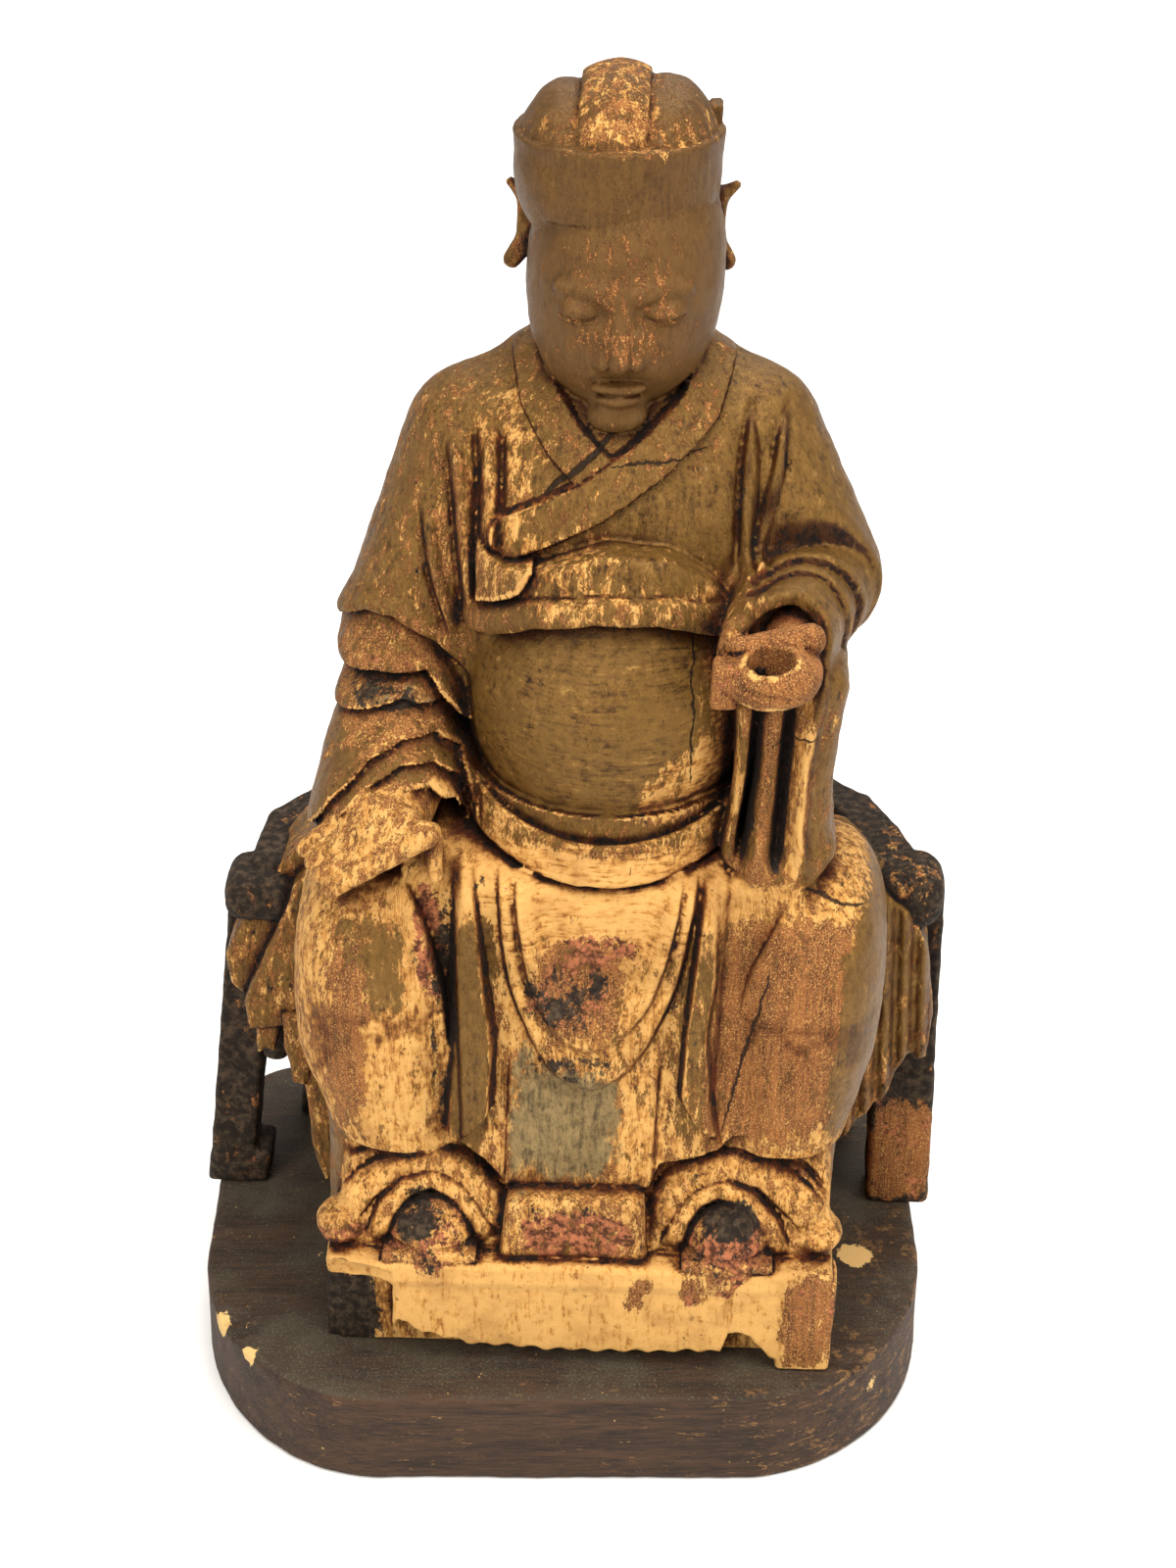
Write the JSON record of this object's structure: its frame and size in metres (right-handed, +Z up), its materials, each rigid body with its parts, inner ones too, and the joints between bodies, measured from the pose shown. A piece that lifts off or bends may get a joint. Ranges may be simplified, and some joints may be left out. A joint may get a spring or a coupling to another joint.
{
  "type": "seated deity statue",
  "caption": "Carved wooden figure of a robed, seated deity in a low horseshoe chair, feet on a footstool, worn gilding over gesso, standing on a dark plinth board.",
  "frame": {"origin": "centre of the plinth board's underside, between its sides and near the middle of its depth", "axes": "+Z up, +X towards the viewer's right as the figure faces the viewer, +Y from the figure's front to its back"},
  "size_m": [0.1758, 0.128, 0.3015],
  "materials": {
    "worn_gilding": "aged gilding worn down to gesso, lacquer and bare wood",
    "dark_stain": "dark brown stain, dusty on top"
  },
  "bodies": {
    "root": {"seated_figure": "worn_gilding", "plinth_board": "dark_stain"}
  },
  "joints": []
}
